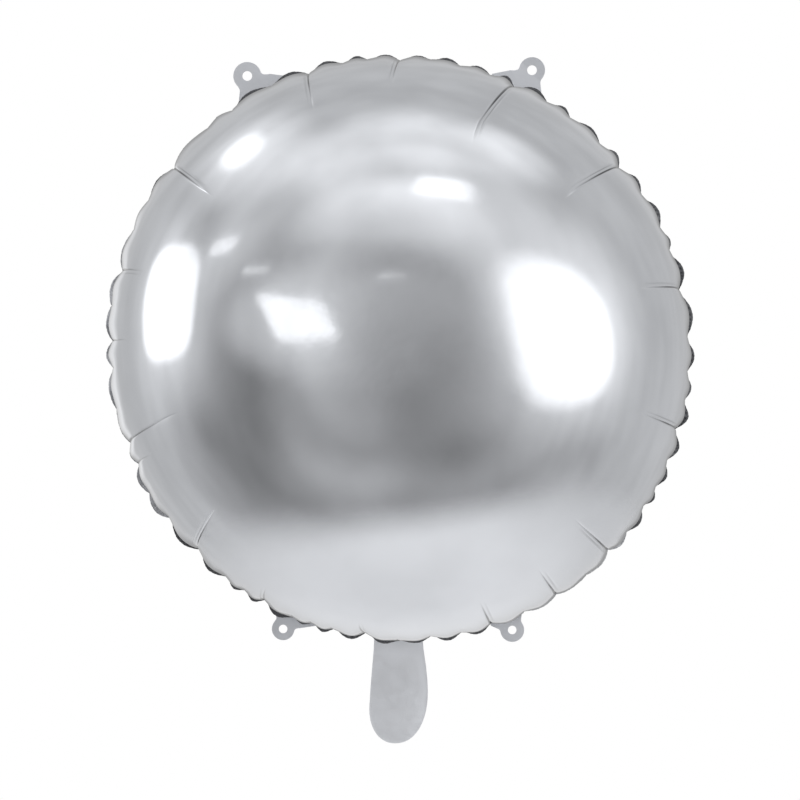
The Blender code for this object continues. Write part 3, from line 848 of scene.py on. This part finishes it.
def make_seal():
    """A grid laid round the rim, its rows from the tucked-in edge out to the cut one."""
    select_none()
    bpy.ops.mesh.primitive_grid_add(x_subdivisions=SEAL_COLUMNS, y_subdivisions=SEAL_ROWS, size=2)
    seal = bpy.context.object
    seal.name = "seal_band"
    flat = corners_of(seal)
    outwards = (flat[:, 1] + 1) / 2
    angle = np.rint((flat[:, 0] + 1) / 2 * SEAL_COLUMNS) % SEAL_COLUMNS * 360 / SEAL_COLUMNS
    turn = np.radians(angle)
    bump, across = bumps_under(angle)
    rim = rim_of(bump, across, angle)
    lit = is_lit(bump)
    held = is_held_flat(bump)
    pucker, wobble = crimp_waves(turn, outwards)

    lens = bump_shape(across) ** np.where(lit, LIT_SEAL_LENS, SEAL_LENS)
    stands = SEAL_AT_PLEAT + (seal_out[bump] + GROOVE_AT_SEAL) * lens
    radius = rim - SEAL_TUCKED_IN + outwards * (SEAL_TUCKED_IN + stands)
    radius += EDGE_WOBBLE * wobble * outwards**3
    past_rim = rise(radius - rim, 0, PUCKERS_PAST_RIM)
    tilt = SEAL_TILT * np.sin(turn * TILT_WAVES + TILT_START) * bump_shape(across) * np.where(held, 0, 1)
    puckered = PUCKER * pucker * np.where(held, HELD_FLAT_PUCKER, 1)
    depth = seal_wave(bump, across) + (tilt + puckered) * past_rim
    move_corners(seal, round_axis(angle, radius, depth))

    grain = np.sin(turn * GRAIN_WAVES + GRAIN_DRIFT * np.sin(turn * GRAIN_DRIFT_WAVES))
    grain = GRAIN * grain * np.sin(GRAIN_ROWS * outwards)
    # Painted shade in the seal's colour: dark in the groove, lighter in the lit stretches, darkest towards
    # each bump's ends, varied by the crimp's grain.
    painted_end_shade = SEAL_ENDS_PAINTED_SHADE * (2 * across - 1) ** SEAL_ENDS_TAPER
    shade_folds(seal, np.where(lit, SEAL_PAINTED_LIGHTER, SEAL_PAINTED_SHADE) + grain + painted_end_shade)
    in_edit_mode(bpy.ops.mesh.remove_doubles, threshold=MEETING_WITHIN)
    thicken(seal, SEAL_THICKNESS)
    bpy.ops.object.shade_smooth()
    return seal


crimped_foil = foil_material(
    "crimped foil", colour=(0.56, 0.57, 0.60), roughness=0.38, change=0.05,
    crinkle_fineness=900.0, crinkle_height=0.00010, coat=0.0,
)
seal_band = make_seal()
seal_band.data.materials.append(crimped_foil)
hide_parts("rim_seal")
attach(seal_band, "envelope")

# Hanging tabs: rings with a punched hole, cut in one piece with the film outside the weld, so that each sits
# on a flat web that runs along the rim. They are single film, a little bent, and fold where the ring starts.

# Each has its angle round the rim, the fold line's distance from the middle of the balloon, the hole's from
# the fold line, and the radii of the hole and the ring. Then come the ends of the ring's sides on the fold
# line, the web's corners on the seal, left and right, and the turn of the line it bends along and how far it
# bends. Lengths are in millimetres, and the angle and the two last values in degrees.
TABS = {
    "upper_left_tab": {
        "angle": 330.8, "fold": 233.7, "to_hole": 7.1, "hole": 3.75, "ring": 10.8,
        "root": (-10.5, 16.0), "feet": ((-16.5, -8.5), (28.6, -9.2)), "bent": (28, 1),
    },
    "upper_right_tab": {
        "angle": 25.4, "fold": 230.5, "to_hole": 7.1, "hole": 3.75, "ring": 10.0,
        "root": (-15.0, 10.6), "feet": ((-26.5, -8.5), (14.1, -5.5)), "bent": (-24, -5),
    },
    "lower_right_tab": {
        "angle": 158.2, "fold": 228.4, "to_hole": 5.0, "hole": 3.3, "ring": 9.2,
        "root": (-9.4, 10.0), "feet": ((-11.5, -4.0), (14.0, -4.0)), "bent": (20, 1),
    },
    "lower_left_tab": {
        "angle": 202.6, "fold": 228.5, "to_hole": 5.4, "hole": 3.3, "ring": 8.7,
        "root": (-11.5, 7.8), "feet": ((-24.0, -7.5), (10.5, -5.0)), "bent": (-20, 7),
    },
}
RING_ENDS_BELOW = 12
RING_POINTS = 40
HOLE_POINTS = 40
SWEEP_STEPS = 8
SWEEP_DOWN = 0.6
WEB_FROM = 0.2190
TAB_THICKNESS = 0.00022
TAB_BEHIND_SEAL = 0.0003
TAB_BENDS_FROM = 0.75
TAB_STRAIGHT_AT_FOLD = 0.004
TAB_CUPPING = 0.02
FILM_SQUARES = 0.0010
DIE_HEIGHT = 0.01
DIE_CORNERS_WITHIN = 0.000001
SHARP_FROM = 40


def circle_points(radius, height, degrees):
    """Points of a circle whose middle lies at a height above the fold line."""
    return [(radius * math.cos(turn), height + radius * math.sin(turn)) for turn in np.radians(degrees)]


def sweep_out(start, end, side):
    """A curve that leaves the ring's outline smoothly and runs down to the fold line."""
    down = SWEEP_DOWN * start[1]
    inwards = math.tan(math.radians(RING_ENDS_BELOW))
    control = (start[0] - side * down * inwards, start[1] - down)
    return [
        tuple((1 - t) ** 2 * a + 2 * t * (1 - t) * b + t**2 * c for a, b, c in zip(start, control, end))
        for t in np.linspace(0, 1, SWEEP_STEPS + 1)[1:]
    ]


def flap_outline(ring, to_hole, root):
    """The ring's outline, whose sides sweep out to the root on the fold line, from right to left."""
    degrees = np.linspace(-RING_ENDS_BELOW, 180 + RING_ENDS_BELOW, RING_POINTS)
    crown = circle_points(ring, to_hole, degrees)
    right_side = sweep_out(crown[0], (root[1], 0), 1)
    left_side = sweep_out(crown[-1], (root[0], 0), -1)
    return right_side[::-1] + crown + left_side


def select_only(piece):
    select_none()
    piece.select_set(True)
    bpy.context.view_layer.objects.active = piece


def cutting_die(outlines):
    """A closed prism over flat outlines; an outline inside another is a hole."""
    curve = bpy.data.curves.new("die", "CURVE")
    curve.dimensions = "2D"
    curve.fill_mode = "BOTH"
    curve.extrude = DIE_HEIGHT
    for outline in outlines:
        spline = curve.splines.new("POLY")
        spline.points.add(len(outline) - 1)
        for point, (x, y) in zip(spline.points, outline):
            point.co = (x, y, 0, 1)
        spline.use_cyclic_u = True
    die = bpy.data.objects.new("die", curve)
    bpy.context.scene.collection.objects.link(die)
    select_only(die)
    bpy.ops.object.convert(target="MESH")
    in_edit_mode(bpy.ops.mesh.remove_doubles, threshold=DIE_CORNERS_WITHIN)
    in_edit_mode(bpy.ops.mesh.normals_make_consistent, inside=False)
    return bpy.context.object


def punch_film(name, outlines, thickness):
    """Film punched out of a sheet, flat in X and Y, as thick as it is along Z."""
    across = [point[0] for point in outlines[0]]
    up = [point[1] for point in outlines[0]]
    size = (max(across) - min(across) + 2 * FILM_SQUARES, max(up) - min(up) + 2 * FILM_SQUARES)
    middle = ((max(across) + min(across)) / 2, (max(up) + min(up)) / 2)
    select_none()
    bpy.ops.mesh.primitive_grid_add(
        x_subdivisions=round(size[0] / FILM_SQUARES), y_subdivisions=round(size[1] / FILM_SQUARES), size=1
    )
    film = bpy.context.object
    film.name = name
    move_corners(film, corners_of(film) * (*size, 1) + (*middle, 0))
    thicken(film, thickness)
    die = cutting_die(outlines)
    cut = film.modifiers.new("punch", "BOOLEAN")
    cut.operation = "INTERSECT"
    cut.object = die
    select_only(film)
    bpy.ops.object.modifier_apply(modifier=cut.name)
    bpy.data.objects.remove(die)
    return film


def rim_frame(angle, distance):
    """Placement whose x runs clockwise along the rim, y backwards and z outwards."""
    turn = math.radians(angle)
    out = Vector((math.sin(turn), 0, math.cos(turn)))
    along = Vector((0, 1, 0)).cross(out)
    axes = Matrix((along, Vector((0, 1, 0)), out)).transposed().to_4x4()
    return Matrix.Translation(out * distance) @ axes


def stand_film(film, place, depths):
    """Turns punched film up into the rim's plane and places it, with its depth at each corner."""
    flat = corners_of(film)
    standing = np.stack([flat[:, 0], flat[:, 2] + depths, flat[:, 1], np.ones(len(flat))], axis=-1)
    move_corners(film, (standing @ np.array(place).T)[:, :3])
    in_edit_mode(bpy.ops.mesh.normals_make_consistent, inside=False)
    bpy.ops.object.shade_smooth_by_angle(angle=math.radians(SHARP_FROM))


def make_tab(body, tab):
    fold, to_hole, hole, ring = (tab[key] / MILLIMETRES for key in ("fold", "to_hole", "hole", "ring"))
    root = [value / MILLIMETRES for value in tab["root"]]
    left_foot, right_foot = ([value / MILLIMETRES for value in foot] for foot in tab["feet"])
    deep = WEB_FROM - fold
    web = [left_foot, (left_foot[0], deep), (right_foot[0], deep), right_foot]
    outline = flap_outline(ring, to_hole, root) + web
    punched = circle_points(hole, to_hole, np.linspace(0, 360, HOLE_POINTS + 1)[:-1])
    film = punch_film(body + "_film", [outline, punched], TAB_THICKNESS)

    across, up, _ = corners_of(film).T
    line_turn, bend = (math.radians(value) for value in tab["bent"])
    past = (up - to_hole * TAB_BENDS_FROM) * math.cos(line_turn) - across * math.sin(line_turn)
    bent = np.clip(past, 0, None) * math.tan(bend) * rise(up, 0, TAB_STRAIGHT_AT_FOLD)
    cupped = TAB_CUPPING * across**2 / ring * rise(up, 0, to_hole)
    stand_film(film, rim_frame(tab["angle"], fold), TAB_BEHIND_SEAL + bent + cupped)
    return film


flat_foil = foil_material(
    "flat foil", colour=(0.65, 0.665, 0.70), roughness=0.46, change=0.02,
    crinkle_fineness=70.0, crinkle_height=0.00003, coat=0.0,
)
for body, tab in TABS.items():
    film = make_tab(body, tab)
    film.data.materials.append(flat_foil)
    upper_or_lower, left_or_right, _ = body.split("_")
    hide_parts(f"tab_{upper_or_lower}_{left_or_right}")
    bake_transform(film)
    film.visible_glossy = False

# Filling neck: a flat tube of the two films, welded along its edges, through which the balloon is filled. It
# hangs straight down, and its plies lie together. Its edges are given as distances down from the middle of
# the balloon and half widths, and its round end has its lowest point left of the middle.
NECK_FOLD = 0.2310
NECK_LEFT = ((0.2200, 0.0196), (0.2310, 0.0200), (0.2460, 0.0213), (0.2620, 0.0226), (0.2775, 0.0235))
NECK_RIGHT = ((0.2200, 0.0174), (0.2310, 0.0183), (0.2450, 0.0203), (0.2560, 0.0214), (0.2640, 0.0217))
NECK_BOTTOM = 0.3041
NECK_BOTTOM_ACROSS = -0.0036
NECK_END_STEPS = 14
NECK_END_ROUNDNESS = 0.92
NECK_PLY_THICKNESS = 0.00018
NECK_PLY_OFF_MIDDLE = 0.00032
NECK_BEHIND_SEAL = 0.00075

# Below its fold it is free to puff out inside its welded edges, to bow and to ripple
NECK_FREE_OVER = (0.004, 0.016)
NECK_WELD = 0.0030
NECK_PUFF = 0.0007
NECK_PUFFS_WITHIN = 0.012
NECK_PUFF_ROUNDNESS = 0.6
NECK_RIDGE = 0.00010
NECK_RIDGE_WIDTH = 0.0006
NECK_BOW = 0.0016
NECK_BOW_LENGTH = 0.073
NECK_RIPPLE = 0.0006
NECK_RIPPLE_LENGTH = 0.011


def neck_outline():
    """x runs clockwise along the rim, to the left seen from the front, and y down the neck from the fold."""
    left = [(width, down - NECK_FOLD) for down, width in NECK_LEFT]
    right = [(-width, down - NECK_FOLD) for down, width in NECK_RIGHT]
    lowest = (-NECK_BOTTOM_ACROSS, NECK_BOTTOM - NECK_FOLD)
    turns = np.linspace(0, math.pi / 2, NECK_END_STEPS + 1)[1:-1]

    def quarter_round(side):
        """From the end of an edge to the lowest point, without either."""
        return [(
            lowest[0] + (side[0] - lowest[0]) * math.cos(turn) ** NECK_END_ROUNDNESS,
            side[1] + (lowest[1] - side[1]) * math.sin(turn) ** NECK_END_ROUNDNESS,
        ) for turn in turns]

    return left + quarter_round(left[-1]) + [lowest] + quarter_round(right[-1])[::-1] + right[::-1]


def edge_distance(points, outline):
    """How far each point lies from the outline."""
    nearest = np.full(len(points), np.inf)
    loop = np.array(outline)
    for start, end in zip(loop, np.roll(loop, -1, axis=0)):
        run = end - start
        share = np.clip(((points - start) @ run) / (run @ run), 0, 1)
        nearest = np.minimum(nearest, np.linalg.norm(points - start - share[:, None] * run, axis=1))
    return nearest


def make_neck_ply(name, side):
    """side is -1 for the front ply."""
    outline = neck_outline()
    ply = punch_film(name, [outline], NECK_PLY_THICKNESS)
    flat = corners_of(ply)
    across, down, _ = flat.T
    inside = edge_distance(flat[:, :2], outline)
    puff = NECK_PUFF * rise(inside, NECK_WELD, NECK_WELD + NECK_PUFFS_WITHIN) ** NECK_PUFF_ROUNDNESS
    ridge = NECK_RIDGE * np.exp(-(((inside - NECK_WELD) / NECK_RIDGE_WIDTH) ** 2))
    bow = NECK_BOW * np.sin(down / NECK_BOW_LENGTH * math.pi)
    ripple = NECK_RIPPLE * np.sin(across / NECK_RIPPLE_LENGTH)
    free = rise(down, *NECK_FREE_OVER)
    depth = side * NECK_PLY_OFF_MIDDLE + NECK_BEHIND_SEAL + (side * (puff + ridge) + bow + ripple) * free
    stand_film(ply, rim_frame(180, NECK_FOLD), depth)
    return ply


neck_foil = foil_material(
    "neck foil", colour=(0.75, 0.765, 0.80), roughness=0.46, change=0.02,
    crinkle_fineness=70.0, crinkle_height=0.00003, coat=0.0,
)
for name, node, side in (
    ("neck_front_film", "neck_front_ply", -1), ("neck_back_film", "neck_back_ply", 1),
):
    ply = make_neck_ply(name, side)
    ply.data.materials.append(neck_foil)
    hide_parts(node)
    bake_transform(ply)
    ply.visible_glossy = False
